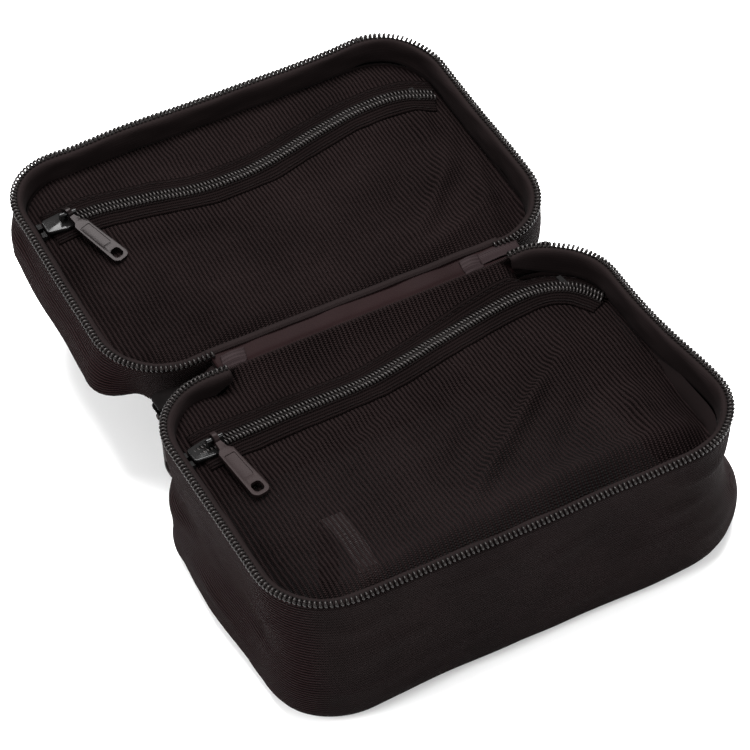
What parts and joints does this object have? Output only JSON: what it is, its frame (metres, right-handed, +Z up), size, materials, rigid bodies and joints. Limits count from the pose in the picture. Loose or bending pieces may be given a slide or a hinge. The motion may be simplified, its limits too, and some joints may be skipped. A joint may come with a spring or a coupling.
{
  "type": "cable organizer pouch",
  "caption": "Zip-round clamshell fabric pouch lying open, a deep half and a shallow half hinged along one side, each with a zipped mesh pocket.",
  "frame": {"origin": "centre of the deep half's flat underside, on the surface it stands on", "axes": "+X along the hinge, +Y from the deep half towards the shallow half, +Z up"},
  "size_m": [0.1528, 0.2126, 0.0591],
  "materials": {
    "shell_fabric": "woven polyester, matt",
    "padding_foam": "closed-cell foam",
    "board": "plain",
    "lining": "smooth coated cloth, faint sheen",
    "zip_tape": "fine herringbone tape",
    "zip_coil": "nylon monofilament",
    "mesh": "fine knitted mesh",
    "slider_enamel": "glossy black enamel",
    "pull_enamel": "glossy black enamel",
    "ribbon": "satin ribbon",
    "elastic": "knitted elastic"
  },
  "bodies": {
    "base": {"base_side_band": "shell_fabric", "base_bottom_panel": "shell_fabric", "base_padding": "padding_foam", "base_stiffener_board": "board", "base_lining": "lining", "base_zip_tape": "zip_tape", "base_zip_coil": "zip_coil", "base_mesh_rear": "mesh", "base_mesh_front": "mesh", "base_pocket_tapes": "zip_tape", "base_pocket_coils": "zip_coil", "base_pocket_stops": "slider_enamel", "base_elastic_loop": "elastic", "hinge_lining_strip": "lining", "hinge_outer_strip": "shell_fabric", "left_ribbon_tab": "ribbon", "right_ribbon_tab": "ribbon", "right_ribbon_fold": "ribbon", "left_main_slider": "slider_enamel", "right_main_slider": "slider_enamel"},
    "lid": {"lid_side_band": "shell_fabric", "lid_top_panel": "shell_fabric", "lid_padding": "padding_foam", "lid_lining": "lining", "lid_zip_tape": "zip_tape", "lid_zip_coil": "zip_coil", "lid_mesh_rear": "mesh", "lid_mesh_front": "mesh", "lid_pocket_tapes": "zip_tape", "lid_pocket_coils": "zip_coil", "lid_pocket_stops": "slider_enamel"},
    "base_slider": {"base_pocket_slider": "slider_enamel"},
    "base_pull": {"base_pocket_pull": "pull_enamel"},
    "lid_slider": {"lid_pocket_slider": "slider_enamel"},
    "lid_pull": {"lid_pocket_pull": "pull_enamel"},
    "left_pull": {"left_main_pull": "pull_enamel"},
    "right_pull": {"right_main_pull": "pull_enamel"}
  },
  "joints": [
    {"name": "lid_fold", "type": "hinge", "parent": "base", "child": "lid", "pos_m": [0, 0.05462, 0.0492], "axis": [1, 0, 0], "range_deg": [0, 173.9]},
    {"name": "base_pocket_slide", "type": "slide", "parent": "base", "child": "base_slider", "axis": [0.9968, 0.0795, 0], "range_m": [0, 0.118]},
    {"name": "base_pull_lift", "type": "hinge", "parent": "base_slider", "child": "base_pull", "pos_m": [-0.06151, 0.02774, 0.0464], "axis": [0.9968, 0.0795, 0], "range_deg": [-150, 0]},
    {"name": "lid_pocket_slide", "type": "slide", "parent": "lid", "child": "lid_slider", "axis": [1, 0, 0], "range_m": [0, 0.118]},
    {"name": "lid_pull_lift", "type": "hinge", "parent": "lid_slider", "child": "lid_pull", "pos_m": [-0.0605, 0.13534, 0.0526], "axis": [1, 0, 0], "range_deg": [-150, 0]},
    {"name": "left_pull_swing", "type": "hinge", "parent": "base", "child": "left_pull", "pos_m": [-0.0665, 0.05475, 0.0351], "axis": [0, 1, 0], "range_deg": [-20, 80]},
    {"name": "right_pull_swing", "type": "hinge", "parent": "base", "child": "right_pull", "pos_m": [0.0665, 0.05475, 0.0351], "axis": [0, -1, 0], "range_deg": [-20, 80]}
  ]
}
